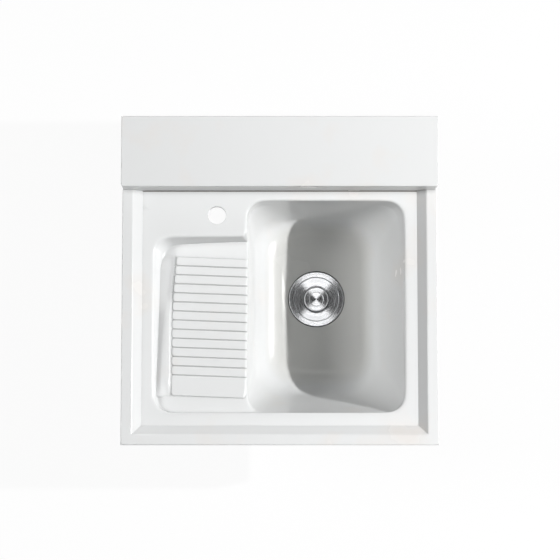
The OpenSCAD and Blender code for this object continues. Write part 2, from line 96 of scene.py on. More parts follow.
# %% Camera
LOOK_AT = Vector(mm(0.5, -304.3, 40))
TILT = math.radians(8.0)
DISTANCE = 4.8
camera = bpy.data.objects.new("camera", bpy.data.cameras.new("camera"))
bpy.context.scene.collection.objects.link(camera)
camera.data.lens = 162.0
camera.data.sensor_width = 36.0
camera.data.clip_end = 50.0
camera.location = LOOK_AT + DISTANCE * Vector((0.0, -math.sin(TILT), math.cos(TILT)))
camera.rotation_euler = (TILT, 0.0, 0.0)
bpy.context.scene.camera = camera
print("camera", [round(v, 3) for v in camera.location])


# %% [markdown]
# A casting has no sharp corners and no flat joins, so its mesh is a coarse cage of quads that a
# subdivision surface rounds. Pieces that are cut and polished instead have flat faces, and a
# bevel eases their edges. These helpers ease a bmesh, turn it into a finished object that rides
# on the measured body, and smooth its shading.

# %% From a bmesh to a piece
def ease_edges(bm, edges, size, segments=4):
    """Rounds edges, as a polishing pad does."""
    bmesh.ops.bevel(
        bm, geom=edges, offset=size, offset_type="OFFSET", segments=segments, profile=0.5,
        affect="EDGES", material=-1,
    )


def ease_corner(bm, corner, size):
    """Rounds one corner of a flat outline."""
    bmesh.ops.bevel(
        bm, geom=[corner], offset=size, offset_type="OFFSET", segments=4, profile=0.5,
        affect="VERTICES", material=-1, clamp_overlap=False,
    )


def finish_piece(bm, name, body, stands_for=(), sharp_from=0):
    """Closes the bmesh into an object that rides on a body and stands for some measured nodes."""
    for face in bm.faces:
        face.smooth = True
    mesh = bpy.data.meshes.new(name)
    bm.to_mesh(mesh)
    bm.free()
    if sharp_from:
        mesh.set_sharp_from_angle(angle=math.radians(sharp_from))
    piece = bpy.data.objects.new(name, mesh)
    bpy.context.scene.collection.objects.link(piece)
    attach(piece, body)
    if stands_for:
        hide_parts(*stands_for)
    print(name, len(mesh.vertices), "vertices", len(mesh.polygons), "faces")
    return piece


def keep_flats(piece):
    """Lets large flat faces keep their own normals, so that only eased edges shade as round."""
    modifier = piece.modifiers.new("flats", "WEIGHTED_NORMAL")
    modifier.mode = "FACE_AREA"
    modifier.weight = 80
    modifier.keep_sharp = True


def subdivide(piece, levels):
    """Adds a live subdivision surface with the same level in the view and in the render."""
    modifier = piece.modifiers.new("round", "SUBSURF")
    modifier.levels = modifier.render_levels = levels
    modifier.boundary_smooth = "PRESERVE_CORNERS"


print("helpers ready: ease_edges, ease_corner, finish_piece, keep_flats, subdivide")


# %% [markdown]
# The mouth of the bowl and of the tray is one outline with six corners. It starts as six points,
# and a vertex bevel rounds each corner with its own radius. The outline is drawn a little too
# large, and a first inset then gives the real edge: the strip between them keeps the worktop
# flat right up to the rounded lip, because a subdivision surface only bends between neighbouring
# loops.

# %% Outline of the mouth
BOWL_X0, BOWL_X1, BOWL_Y0, BOWL_Y1 = mm(-63, 237, -557, -151)
TRAY_X0, TRAY_Y1 = mm(-240, -221)
LIP = mm(8)  # distance between the loops that round an edge
BOWL_R, TRAY_R, TONGUE_R = mm(33, 32, 13)  # the tongue juts out between the tray and the bowl

bm = bmesh.new()
outline = [
    (TRAY_X0 - LIP, BOWL_Y0 - LIP, TRAY_R + LIP), (BOWL_X1 + LIP, BOWL_Y0 - LIP, BOWL_R + LIP),
    (BOWL_X1 + LIP, BOWL_Y1 + LIP, BOWL_R + LIP), (BOWL_X0 - LIP, BOWL_Y1 + LIP, BOWL_R + LIP),
    (BOWL_X0 - LIP, TRAY_Y1 + LIP, TONGUE_R - LIP), (TRAY_X0 - LIP, TRAY_Y1 + LIP, TRAY_R + LIP),
]
corners = [bm.verts.new((x, y, TOP)) for x, y, radius in outline]
bm.faces.new(corners)
for corner, (_, _, radius) in zip(corners, outline):
    ease_corner(bm, corner, radius)
print("outline", len(bm.verts), "points")


# %% [markdown]
# The straight runs of the outline need points too, so that the quads that hang from them are of
# even size. One of them is exactly where the washboard tray's lip will meet the front wall.

# %% Points along the straight runs
def add_points(bm, axis, line, places):
    """Splits the outline's edge that lies on a line, at each of the places along it."""
    for place in places:
        for edge in list(bm.edges):
            start, end = edge.verts
            low, high = sorted((start.co[axis], end.co[axis]))
            on_line = all(abs(v.co[1 - axis] - line) < SAME for v in edge.verts)
            if on_line and low + SAME < place < high - SAME:
                share = (place - start.co[axis]) / (end.co[axis] - start.co[axis])
                bmesh.utils.edge_split(edge, start, share)
                break


add_points(bm, 0, BOWL_Y0 - LIP, mm(-170, -120, -80, -45, -5, 40, 85, 130, 170))
add_points(bm, 0, BOWL_Y1 + LIP, mm(15, 60, 105, 150))
add_points(bm, 0, TRAY_Y1 + LIP, mm(-170, -120))
add_points(bm, 1, BOWL_X1 + LIP, mm(-480, -430, -380, -330, -280, -235))
add_points(bm, 1, BOWL_X0 - LIP, [mm(-196)])
add_points(bm, 1, TRAY_X0 - LIP, mm(-480, -430, -380, -330, -290))
mouth = next(iter(bm.faces))
print("outline", len(mouth.verts), "points with the straight runs")


# %% [markdown]
# The walls of the casting go down in rings. Each ring is the last one extruded straight down,
# and its points are then moved in by the wall's lean: the mould has to let go of the casting, so
# every wall leans. The tray's floor is a tilted plane that drains into the bowl, and the rings
# of the mouth follow it, shallow at the front and deeper towards the wall.

# %% Helpers for walls that lean
SLAB, BOWL_DEEP = mm(12, 200)  # thickness of the worktop, depth of the bowl
TRAY_DEEP, TRAY_SHALLOW = mm(38, 14)  # at the tray's rear wall and at its front
FALL = (TRAY_DEEP - TRAY_SHALLOW) / (TRAY_Y1 - BOWL_Y0)

# How far the bowl's walls come in on the way to its floor, and how the tray's walls lean
LEAN_LEFT, LEAN_RIGHT, LEAN_FRONT, LEAN_REAR = mm(17, 50, 59, 8)
REAR_LEAN, REAR_LEAN_CORNER = mm(3.5, 5.5)  # all along, and more towards the left corner
DRAFT_LEFT = math.tan(math.radians(20.5))
TONGUE_FOOT_R = mm(3)


def tray_level(y):
    """Height of the tray's tilted floor at a place along y."""
    return TOP - TRAY_DEEP + (TRAY_Y1 - y) * FALL


def depth_of_tray(y):
    """Depth of the tray's floor under the worktop."""
    return TOP - tray_level(y)


def lean(depth, whole):
    """How far a wall of the bowl has come in at a depth under the worktop."""
    return whole * max(0.0, depth - SLAB) / (BOWL_DEEP - SLAB)


def ramp(value, nothing, all_of_it):
    """0 at the first number, 1 at the second, straight between."""
    return min(1.0, max(0.0, (value - nothing) / (all_of_it - nothing)))


def next_ring(bm, face):
    """Extrudes one face and returns the new one."""
    return bmesh.ops.extrude_discrete_faces(bm, faces=[face])["faces"][0]


def set_upper_ring(face, plan, depth_at):
    """Places a ring of the mouth: each point at its own depth, moved in by the walls' leans.

    A ramp's marks say where along a wall its lean fades in, so that two walls share a corner.
    """
    for vert in face.verts:
        x, y, _ = vert[plan]
        depth = depth_at(y)
        in_tray = ramp(x, BOWL_X0, BOWL_X0 - TONGUE_R)
        in_bowl = ramp(x, BOWL_X0, BOWL_X0 + BOWL_R)
        on_tongue = x < BOWL_X0 + SAME and -SAME < y - TRAY_Y1 < TONGUE_R + SAME
        if on_tongue and in_tray < 1:
            closer = (1 - TONGUE_FOOT_R / TONGUE_R) * min(1.0, depth / TRAY_DEEP)
            x += (BOWL_X0 - x) * closer
            y += (TRAY_Y1 - y) * closer
        dx = DRAFT_LEFT * depth * ramp(x, mm(-120), TRAY_X0 + TRAY_R)
        dx -= lean(depth, LEAN_RIGHT) * ramp(x, mm(60), BOWL_X1 - BOWL_R)
        dx += lean(depth, LEAN_LEFT) * (1 - in_bowl) * (1 if on_tongue else 1 - in_tray)
        dy = lean(depth, LEAN_FRONT) * in_bowl * ramp(y, mm(-430), BOWL_Y0 + BOWL_R)
        dy -= lean(depth, LEAN_REAR) * (1 - in_tray) * ramp(y, mm(-240), BOWL_Y1 - BOWL_R)
        tray_rear = REAR_LEAN + REAR_LEAN_CORNER * ramp(x, mm(-80), TRAY_X0 + TRAY_R)
        at_rear = 1 if on_tongue else in_tray * ramp(y, mm(-330), TRAY_Y1 - TRAY_R)
        dy -= tray_rear * depth / TRAY_DEEP * at_rear
        vert.co = (x + dx, y + dy, TOP - depth)


print("tray's floor falls", round(TRAY_DEEP - TRAY_SHALLOW, 4), "to the rear")


# %% [markdown]
# A concave corner or a lip is as round as its neighbouring loops are near: two loops 8 mm from
# an edge give it a radius of about 5 mm. That is the look of polished cast stone.

# %% Rings of the mouth, down to the tray's floor
plan = bm.verts.layers.float_vector.new("plan")
bearing = bm.verts.layers.float.new("bearing")
bmesh.ops.inset_individual(bm, faces=[mouth], thickness=LIP, depth=0.0, use_even_offset=True)
for vert in mouth.verts:
    vert[plan] = vert.co
print("lip from", [round(min(v.co[i] for v in mouth.verts), 4) for i in (0, 1)],
      "to", [round(max(v.co[i] for v in mouth.verts), 4) for i in (0, 1)])


MOST = 0.40  # no ring takes more than this share of the tray's depth


def under_the_lip(y):
    """Depth of the ring that rounds the lip, nearer to it where the tray is shallow."""
    return min(LIP, MOST * depth_of_tray(y))


def over_the_floor(y):
    """Depth of the ring that rounds the foot, tighter towards the tray's rear wall."""
    tight = LIP - mm(4) * ramp(y, mm(-290), mm(-235))
    return depth_of_tray(y) - min(tight, MOST * depth_of_tray(y))


ring = mouth
for depth_at in (under_the_lip, over_the_floor, depth_of_tray):
    ring = next_ring(bm, ring)
    set_upper_ring(ring, plan, depth_at)
print("last ring from", round(min(v.co.z for v in ring.verts), 4),
      "up to", round(max(v.co.z for v in ring.verts), 4))

# %% [markdown]
# The last ring lies in the tilted plane. A cut from the tongue's corner to the front wall
# divides it into the tray's floor and the bowl's mouth. It runs straight along the bowl's left
# side and then round the bowl's front corner, as the lip does in the photograph. It meets the
# walls at an open angle at both ends: where two loops run together at no angle, a subdivision
# surface puckers.

# %% Cut between tray and bowl
def nearest(face, x, y):
    """The point of a ring whose place in plan is nearest to x and y."""
    return min(face.verts, key=lambda v: (v[plan].xy - Vector((x, y))).length)


def on_bowl_corner(degrees):
    """A point of the bowl's rounded front left corner, in plan."""
    turn = math.radians(degrees)
    return (BOWL_X0 + BOWL_R + BOWL_R * math.cos(turn), BOWL_Y0 + BOWL_R + BOWL_R * math.sin(turn))


def lip_x(y):
    """Where the tray's floor ends at the bowl."""
    return BOWL_X0 + lean(depth_of_tray(y), LEAN_LEFT)


arc = []
for turn in (math.radians(degrees) for degrees in (22.5, 45, 67.5, 90)):
    x = BOWL_X0 - TONGUE_R * (1 - math.sin(turn))
    y = TRAY_Y1 + TONGUE_R * (1 - math.cos(turn))
    arc.append(nearest(ring, x, y))
landing = nearest(ring, mm(-45), BOWL_Y0)
path = [(lip_x(y), y) for y in mm(-244, -270, -305, -345, -385, -430, -475, -514)]
path += [mm(-61, -531), mm(-55, -545)]
other, _ = bmesh.utils.face_split(
    ring, arc[0], landing, coords=[Vector((x, y, tray_level(y))) for x, y in path]
)
tray_floor, bowl_mouth = sorted((ring, other), key=lambda f: f.calc_center_median().x)

# The bowl's rings start from places on its own rounded rectangle, not from the cut.
places = [(BOWL_X0, y) for x, y in path[:-3]] + [on_bowl_corner(turn) for turn in (183, 203, 225)]
for (x, y), place in zip(path, places):
    vert = min(bowl_mouth.verts, key=lambda v: (v.co.xy - Vector((x, y))).length)
    vert[plan] = (*place, 0.0)
for vert, y in zip(arc, mm(-232, -224, -216, -208)):
    vert[plan] = (BOWL_X0, y, 0.0)
landing[plan] = (*on_bowl_corner(250), 0.0)
bmesh.ops.inset_individual(
    bm, faces=[tray_floor], thickness=mm(5), depth=0.0, use_even_offset=True
)

# The loop near the tray's edge sets how round its foot is: wide at the left, tight at the rear.
for vert in tray_floor.verts:
    if mm(-75) < vert.co.x and mm(-520) < vert.co.y < mm(-235):
        vert.co.x -= mm(3)
    elif vert.co.x < mm(-215) and mm(-530) < vert.co.y < mm(-250):
        vert.co.x += mm(4) + mm(8) * ramp(vert.co.y, mm(-530), mm(-330))
    elif vert.co.y > mm(-240):
        vert.co.y += mm(2.5)
print("bowl's mouth", len(bowl_mouth.verts), "points, tray's floor", len(tray_floor.verts))

# %% [markdown]
# Below the lip the bowl has four walls of its own. Its left and rear walls are nearly upright,
# its right and front walls lean by 15 and 17 degrees, and the corners open from 33 to 70 mm on
# the way down. Each wall runs into the floor in its own fillet, 30 to 50 mm wide, so that
# nothing catches water.

# %% Helpers for the bowl
FLOOR = TOP - BOWL_DEEP
FOOT_R = mm(70)
FILLET_LEFT, FILLET_RIGHT, FILLET_FRONT, FILLET_REAR = mm(50, 30, 45, 30)


def stretch(value, old, new):
    """Carries a value from four old marks to four new ones, straight between each two."""
    for i in range(3):
        if value <= old[i + 1] or i == 2:
            share = (value - old[i]) / (old[i + 1] - old[i])
            return new[i] + share * (new[i + 1] - new[i])


def fillet_at(x, y):
    """The floor fillet's radius at a point of the bowl's mouth, blended round the corners."""
    pulls = (
        (ramp(x, BOWL_X0 + BOWL_R, BOWL_X0), FILLET_LEFT),
        (ramp(x, BOWL_X1 - BOWL_R, BOWL_X1), FILLET_RIGHT),
        (ramp(y, BOWL_Y0 + BOWL_R, BOWL_Y0), FILLET_FRONT),
        (ramp(y, BOWL_Y1 - BOWL_R, BOWL_Y1), FILLET_REAR),
    )
    total = sum(pull for pull, radius in pulls)
    return sum(pull * radius for pull, radius in pulls) / total


def set_bowl_ring(face, plan, way_down, turn):
    """Places a ring of the bowl: a share of the way down the wall, then a turn into the floor."""
    back, under = 1 - math.cos(turn), 1 - math.sin(turn)
    for vert in face.verts:
        x, y, _ = vert[plan]
        start = tray_level(y)
        foot = FLOOR + fillet_at(x, y) * under
        vert_z = start + (foot - start) * way_down
        depth = TOP - vert_z
        radius = BOWL_R + (FOOT_R - BOWL_R) * ramp(depth, mm(20), BOWL_DEEP) - FILLET_REAR * back
        x0 = BOWL_X0 + lean(depth, LEAN_LEFT) + FILLET_LEFT * back
        x1 = BOWL_X1 - lean(depth, LEAN_RIGHT) - FILLET_RIGHT * back
        y0 = BOWL_Y0 + lean(depth, LEAN_FRONT) + FILLET_FRONT * back
        y1 = BOWL_Y1 - lean(depth, LEAN_REAR) - FILLET_REAR * back
        vert.co = (
            stretch(x, (BOWL_X0, BOWL_X0 + BOWL_R, BOWL_X1 - BOWL_R, BOWL_X1),
                    (x0, x0 + radius, x1 - radius, x1)),
            stretch(y, (BOWL_Y0, BOWL_Y0 + BOWL_R, BOWL_Y1 - BOWL_R, BOWL_Y1),
                    (y0, y0 + radius, y1 - radius, y1)),
            vert_z,
        )


print("bowl's floor will be", round(BOWL_DEEP, 4), "under the worktop")

# %% [markdown]
# The rings lie close together at the lip and in the fillet, where the surface turns, and far
# apart on the straight wall between them.

# %% Rings of the bowl, from its lip to its floor
ring = bowl_mouth
bowl_rings = [(share, 0) for share in (0.07, 0.3, 0.65, 0.88)]
bowl_rings += [(1.0, degrees) for degrees in (12, 35, 60, 80, 90)]
for way_down, degrees in bowl_rings:
    ring = next_ring(bm, ring)
    set_bowl_ring(ring, plan, way_down, math.radians(degrees))
print("bowl's floor at", round(min(v.co.z for v in ring.verts), 4))

# %% [markdown]
# The floor falls 4 mm to the waste. Its rings turn from the bowl's rounded rectangle into a
# circle, and a seat 3 mm deep takes the strainer's flange. The seat is 1.8 mm wider than the
# flange all round, and the gap shows as a thin dark line round the steel.

# %% Floor, seat and drain hole
WASTE = Vector(mm(72.5, -314))

# Even steps round the waste, turned to lie as near to the bowl's own points as they can.
around = [loop.vert for loop in ring.loops]
bearings = [math.atan2(v.co.y - WASTE.y, v.co.x - WASTE.x) for v in around]
step = 2 * math.pi / len(around)
if (bearings[1] - bearings[0]) % (2 * math.pi) > math.pi:
    step = -step
drift = [
    (b - bearings[0] - i * step + math.pi) % (2 * math.pi) - math.pi
    for i, b in enumerate(bearings)
]
first = bearings[0] + sum(drift) / len(drift)
for i, vert in enumerate(around):
    vert[bearing] = first + i * step
    vert[plan] = vert.co


def set_floor_ring(face, share, radius, z):
    """Places a ring of the floor, a share of the way from the bowl's shape to a circle."""
    for vert in face.verts:
        circle = WASTE + radius * Vector((math.cos(vert[bearing]), math.sin(vert[bearing])))
        square = vert[plan].xy
        vert.co = (*(square + (circle - square) * share), z)


# Radii and heights in millimetres
the_fall = [(0.10, 60, -160.3), (0.5, 60, -162), (1.0, 62, -163.9)]
seat_edge = [(57.4, -164), (56.3, -164), (56.3, -165), (56.3, -166.2), (56.3, -167)]
seat_and_hole = [(55.3, -167), (48, -167), (46.5, -167), (46.5, -168.5), (46.5, -174)]
for share, radius, z in the_fall + [(1.0, *place) for place in seat_edge + seat_and_hole]:
    ring = next_ring(bm, ring)
    set_floor_ring(ring, share, mm(radius), mm(z))
print("drain hole", len(ring.verts), "points, its foot at", round(ring.calc_center_median().z, 4))
bmesh.ops.delete(bm, geom=[ring], context="FACES_ONLY")

# %% [markdown]
# The worktop round the mouth is a flat sheet with a hole for the tap. Flat ground needs no
# careful quads: the fill between the sheet's edge, the tap hole and the mouth's outer loop may
# be triangles, because a subdivision surface of a flat patch stays flat. The photograph shows
# nothing of the front edge, so that edge leans back towards its foot, and the sheet ends 2 mm
# behind the rim.

# %% The worktop's sheet and tap hole
TAP = Vector(mm(-120, -179))
TAP_R, COLLAR = mm(17.5, 3)  # a tap needs a hole of 35 mm; the collar keeps its rim flat
SHEET_FRONT = FRONT + mm(2)
mouth_loop = [
    e for e in bm.edges if e.is_boundary and all(abs(v.co.z - TOP) < SAME for v in e.verts)
]
sheet = bmesh.ops.create_grid(bm, x_segments=8, y_segments=8, size=0.5)["verts"]
inner = [v for v in sheet if max(abs(v.co.x), abs(v.co.y)) < 0.49]
bmesh.ops.delete(bm, geom=inner, context="VERTS")
sheet = [v for v in sheet if v.is_valid]
bmesh.ops.scale(bm, vec=(2 * HALF_W, -SHEET_FRONT, 1.0), verts=sheet)
bmesh.ops.translate(bm, vec=(0.0, SHEET_FRONT / 2, TOP), verts=sheet)
edge_loop = [e for e in bm.edges if all(v in sheet for v in e.verts)]
hole = bmesh.ops.create_circle(bm, segments=24, radius=TAP_R, cap_ends=False)["verts"]
collar = bmesh.ops.create_circle(bm, segments=24, radius=TAP_R + COLLAR, cap_ends=False)["verts"]
bmesh.ops.translate(bm, vec=(TAP.x, TAP.y, TOP), verts=hole + collar)
hole_loop = [e for e in bm.edges if all(v in hole for v in e.verts)]
collar_loop = [e for e in bm.edges if all(v in collar for v in e.verts)]
bmesh.ops.bridge_loops(bm, edges=hole_loop + collar_loop)
bmesh.ops.triangle_fill(
    bm, use_beauty=True, use_dissolve=False, edges=mouth_loop + edge_loop + collar_loop,
    normal=(0.0, 0.0, 1.0),
)
print("sheet", len(edge_loop), "edges round it,", len(mouth_loop), "round the mouth")

# %% [markdown]
# The sheet keeps its square outer corners by creases. The casting is 12 mm thick in the worktop
# and 8 mm in the bowl, which a Solidify modifier gives it from a vertex group.

# %% Creases, thickness and the finished casting
crease = bm.edges.layers.float.new("crease_edge")
corner_crease = bm.verts.layers.float.new("crease_vert")
for edge in bm.edges:
    if edge.is_boundary:
        edge[crease] = 1.0
for vert in bm.verts:
    at_end = vert.co.y > -SAME or vert.co.y < SHEET_FRONT + SAME
    if abs(abs(vert.co.x) - HALF_W) < SAME and at_end:
        vert[corner_crease] = 1.0
bmesh.ops.recalc_face_normals(bm, faces=bm.faces)
if sum(f.normal.z * f.calc_area() for f in bm.faces) < 0:
    bmesh.ops.reverse_faces(bm, faces=bm.faces)
bm.verts.layers.float_vector.remove(plan)
casting = finish_piece(bm, "casting", "unit", stands_for=("worktop", "basin"))
subdivide(casting, 2)
thick = casting.vertex_groups.new(name="thick")
thick.add([v.index for v in casting.data.vertices if v.co.z > TOP - SAME], 1.0, "REPLACE")
wall = casting.modifiers.new("wall", "SOLIDIFY")
wall.thickness = SLAB
wall.offset = -1.0
wall.vertex_group = "thick"
wall.thickness_vertex_group = 0.667  # the share that the rest keeps: 8 of 12 mm
print("casting's wall", SLAB, "thick at its worktop")


# %% [markdown]
# The rim is a low wall with a flat top and a slope that sends the drips back. It is one frame of
# faces: a rectangle inset twice gives the flat and the slope with mitred corners, the middle is
# taken out, and the raised frame is extruded down to the worktop. Its long edges are then eased,
# and its front face leans back 1.3 mm to its foot.

# %% Raised rim
FOOT_BACK, RIM_FOOT_BACK = mm(3, 1.3)  # how far the shelf's and the rim's fronts lean back
bm = bmesh.new()
frame_verts = bmesh.ops.create_grid(bm, x_segments=1, y_segments=1, size=0.5)["verts"]
rim_back = SHELF_FRONT + 2 * RIM_WIDE
bmesh.ops.scale(bm, vec=(2 * HALF_W, rim_back - FRONT, 1.0), verts=frame_verts)
bmesh.ops.translate(bm, vec=(0.0, (rim_back + FRONT) / 2, RIM_TOP), verts=frame_verts)
middle = next(iter(bm.faces))
bmesh.ops.inset_individual(bm, faces=[middle], thickness=RIM_FLAT, use_even_offset=True)
bmesh.ops.inset_individual(
    bm, faces=[middle], thickness=RIM_WIDE - RIM_FLAT, use_even_offset=True
)
bmesh.ops.translate(bm, vec=(0.0, 0.0, TOP - RIM_TOP), verts=list(middle.verts))
bmesh.ops.delete(bm, geom=[middle], context="FACES_ONLY")
bmesh.ops.bisect_plane(
    bm, geom=bm.verts[:] + bm.edges[:] + bm.faces[:], dist=SAME,
    plane_co=(0.0, SHELF_FRONT + FOOT_BACK, 0.0), plane_no=(0.0, 1.0, 0.0), clear_outer=True,
)
down = bmesh.ops.extrude_face_region(bm, geom=bm.faces[:])["geom"]
for vert in (g for g in down if isinstance(g, bmesh.types.BMVert)):
    vert.co.z = TOP
bmesh.ops.remove_doubles(bm, verts=bm.verts, dist=SAME)
bmesh.ops.recalc_face_normals(bm, faces=bm.faces)
crests = [
    e for e in bm.edges
    if all(abs(v.co.z - RIM_TOP) < SAME for v in e.verts)
    and len(e.link_faces) == 2 and e.calc_face_angle(0.0) > math.radians(11)
    and not all(v.co.y > SHELF_FRONT for v in e.verts)
]
ease_edges(bm, crests, mm(2))
for vert in bm.verts:
    if vert.co.z < TOP + SAME and vert.co.y < FRONT + SAME:
        vert.co.y += RIM_FOOT_BACK
rim = finish_piece(
    bm, "rim", "unit", sharp_from=30,
    stands_for=("left_rim", "front_rim", "right_rim"),
)
keep_flats(rim)

# %% [markdown]
# Under the front edge a strip thickens the worktop and rests on the cabinet. It carries on the
# lean of the rim's front face, and its edges are eased where a hand would meet them.

# %% Front strip
STRIP_TOP_BACK, STRIP_FOOT_BACK = mm(2.2, 4.4)
LOW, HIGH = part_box("front_skirt")
bm = bmesh.new()
strip = bmesh.ops.create_cube(bm, size=1.0)["verts"]
bmesh.ops.scale(bm, vec=HIGH - LOW, verts=strip)
bmesh.ops.translate(bm, vec=(LOW + HIGH) / 2, verts=strip)
for vert in bm.verts:
    if vert.co.y < LOW.y + SAME:
        vert.co.y += STRIP_TOP_BACK if vert.co.z > HIGH.z - SAME else STRIP_FOOT_BACK
ease_edges(bm, bm.edges[:], mm(0.8), segments=3)
front_strip = finish_piece(
    bm, "front_strip", "unit", stands_for=("front_skirt",), sharp_from=30
)
keep_flats(front_strip)

# %% [markdown]
# The shelf stands on the worktop's rear edge. Its panels are glued and polished as one block, so
# it is one shell here: a box with its upright front corners rounded by 5 mm, its top edges
# eased, and no bottom, since it sits on the worktop. Its front leans back 3 mm to its foot: from
# above the photograph shows only a narrow dark band of it.

# %% Rear shelf
SHELF_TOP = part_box("shelf_top")[1].z
bm = bmesh.new()
shelf_verts = bmesh.ops.create_cube(bm, size=1.0)["verts"]
bmesh.ops.scale(bm, vec=(2 * HALF_W, -SHELF_FRONT, SHELF_TOP - TOP), verts=shelf_verts)
bmesh.ops.translate(bm, vec=(0.0, SHELF_FRONT / 2, (SHELF_TOP + TOP) / 2), verts=shelf_verts)
bottom = [f for f in bm.faces if f.normal.z < -0.9]
bmesh.ops.delete(bm, geom=bottom, context="FACES_ONLY")
for vert in bm.verts:
    if vert.co.z < TOP + SAME and vert.co.y < SHELF_FRONT + SAME:
        vert.co.y += FOOT_BACK
uprights = [
    e for e in bm.edges
    if abs(e.verts[0].co.z - e.verts[1].co.z) > mm(10) and e.verts[0].co.y < SHELF_FRONT / 2
]
ease_edges(bm, uprights, mm(5), segments=6)
top_edges = [
    e for e in bm.edges
    if all(abs(v.co.z - SHELF_TOP) < SAME for v in e.verts) and len(e.link_faces) == 2
]
ease_edges(bm, top_edges, mm(1.8))
shelf = finish_piece(
    bm, "shelf", "unit", sharp_from=30,
    stands_for=("shelf_top", "shelf_riser", "shelf_back", "shelf_left_end", "shelf_right_end"),
)
panels = shelf.modifiers.new("panels", "SOLIDIFY")
panels.thickness = mm(12)
panels.offset = -1.0
panels.use_even_offset = True
keep_flats(shelf)

# %% [markdown]
# Where the shelf stands on the worktop the joint is closed with a bead of grey silicone, tooled
# smooth with a wet finger. In the photograph it is the thin dark line at the shelf's foot. Its
# section is a small wedge with an eased nose, swept along the joint.

# %% Sealant bead
bm = bmesh.new()
BEAD = mm(1.8)
SHELF_FOOT = SHELF_FRONT + FOOT_BACK
nose = 0.3 * BEAD
section = [
    bm.verts.new((-HALF_W + RIM_WIDE, y, z))
    for y, z in ((SHELF_FOOT, TOP + BEAD), (SHELF_FOOT - nose, TOP + nose),
                 (SHELF_FOOT - BEAD, TOP), (SHELF_FOOT, TOP))
]
bm.faces.new(section)
ease_corner(bm, section[1], mm(0.8))
swept = bmesh.ops.extrude_face_region(bm, geom=bm.faces[:])["geom"]
bmesh.ops.translate(
    bm, vec=(2 * (HALF_W - RIM_WIDE), 0.0, 0.0),
    verts=[g for g in swept if isinstance(g, bmesh.types.BMVert)],
)
bmesh.ops.recalc_face_normals(bm, faces=bm.faces)
sealant = finish_piece(bm, "sealant", "unit", sharp_from=30)

# %% [markdown]
# The washboard is a slab of low rounded ribs across the tray. Laundry is rubbed over them from
# rear to front. It is a fine grid whose rows and columns lie close together where the surface
# turns: at the grooves between the ribs, at the ribs' rounded left ends, and at the bowl's lip,
# where ribs and grooves roll over together. Left of the ribs the casting rises a little to a
# thin ridge.

# %% Washboard: its outline and its rows and columns
BOARD_BACK, BOARD_L, BAND = mm(-254, 270, 40)  # rear edge, length, and the flat band at its front
RIBS = 13
PITCH = (BOARD_L - BAND) / RIBS
COVE, RIB_END = mm(9.5, 8)  # widths of the hollow left of the ribs and of their rounded ends
ROLL_R = mm(5)


def board_left(y):
    """The left edge of the ribs, which bends slightly on its way to the front."""
    return mm(-199) - mm(7.5) * math.sin(0.5 * math.pi * ramp(y, mm(-262), mm(-400)))


def wall_foot(y):
    """Where the strip left of the ribs has dipped into the foot of the tray's left wall."""
    return TRAY_X0 + DRAFT_LEFT * depth_of_tray(y) + mm(2.5)


in_pitch = (0.0, 0.02, 0.045, 0.075, 0.115, 0.18, 0.34, 0.5, 0.66, 0.82, 0.885, 0.925, 0.955, 0.98)
in_band = (0, 0.01, 0.02, 0.035, 0.055, 0.1, 0.3, 0.5, 0.7, 0.86, 0.91, 0.94, 0.965, 0.985, 1.0)
past_edge = mm(0.7, 1.5, 3)
rows = [-away for away in reversed(past_edge)]
rows += [(number + share) * PITCH for number in range(RIBS) for share in in_pitch]
rows += [RIBS * PITCH + share * BAND for share in in_band]
rows += [BOARD_L + away for away in past_edge]
marks = {
    # shares of the strip beside the wall
    "channel": (-1.0, -0.8, -0.6, -0.4, -0.25, -0.12),
    # millimetres from the ribs' left edge
    "cove": (-9.5, -8.0, -6.6, -5.4, -4.6, -4.0, -3.4, -2.8, -2.2, -1.6, -1.0, -0.4),
    "end": (0, 0.35, 0.8, 1.4, 2.2, 3.2, 4.5, 6.0, 8.0),
    # shares of the straight ribs
    "rib": [share / 14 for share in range(1, 14)],
    # degrees round the lip
    "roll": (*range(0, 91, 9), 100),
}
columns = [(kind, value) for kind, values in marks.items() for value in values]
print("washboard", len(rows), "rows", len(columns), "columns")


# %% [markdown]
# A rib's section is like a cushion's: round at its sides and nearly flat on top, because a mould
# with narrow grooves makes the crowns wide. The heights are all over the tray's tilted floor, so
# the whole board tilts with it.

# %% Washboard: heights of the ribs
GROOVE_Z, RIB_Z, BAND_Z = mm(1.5, 5.0, 4.4)
SOFT = mm(2.6)  # how far in from its edges a rib is rounded


def cushion(inside):
    """0 at an edge and 1 from a distance inside it, rounded like a cushion's side."""
    share = min(1.0, max(0.0, inside / SOFT))
    return math.sqrt(1.0 - (1.0 - share) ** 2)


def board_height(end, back):
    """Height over the tray's floor, at distances from the ribs' left ends and the board's back."""
    number = min(RIBS, max(0, int(back / PITCH)))
    near, far = number * PITCH, ((number + 1) * PITCH if number < RIBS else BOARD_L)
    across = min(back - near, far - back)
    corner = mm(5)
    if end < corner and across < corner:
        inside = corner - math.hypot(corner - end, corner - across)
    else:
        inside = min(end, across)
    crown = BAND_Z if number == RIBS else RIB_Z
    return GROOVE_Z + (crown - GROOVE_Z) * cushion(inside)


print("rib", round(board_height(0.1, 0.5 * PITCH), 4), "groove", board_height(0.1, PITCH))

# %% [markdown]
# Left of the ribs the strip changes on its way to the front. At the back it rises to the ribs in
# a hollow curve. It is less steep than the ribs, so towards the front it stands above their bed
# and steps down to it: there the photograph shows a thin ridge.

# %% Washboard: heights left of the ribs
EDGE_Z, RIDGE_Z = mm(0.3, 3.3)


def at_front(back):
    """0 at the board's back, 1 where the strip left of the ribs stands above their bed."""
    return ramp(back, mm(72), mm(118)) * ramp(back, BOARD_L + mm(4), BOARD_L - mm(26))


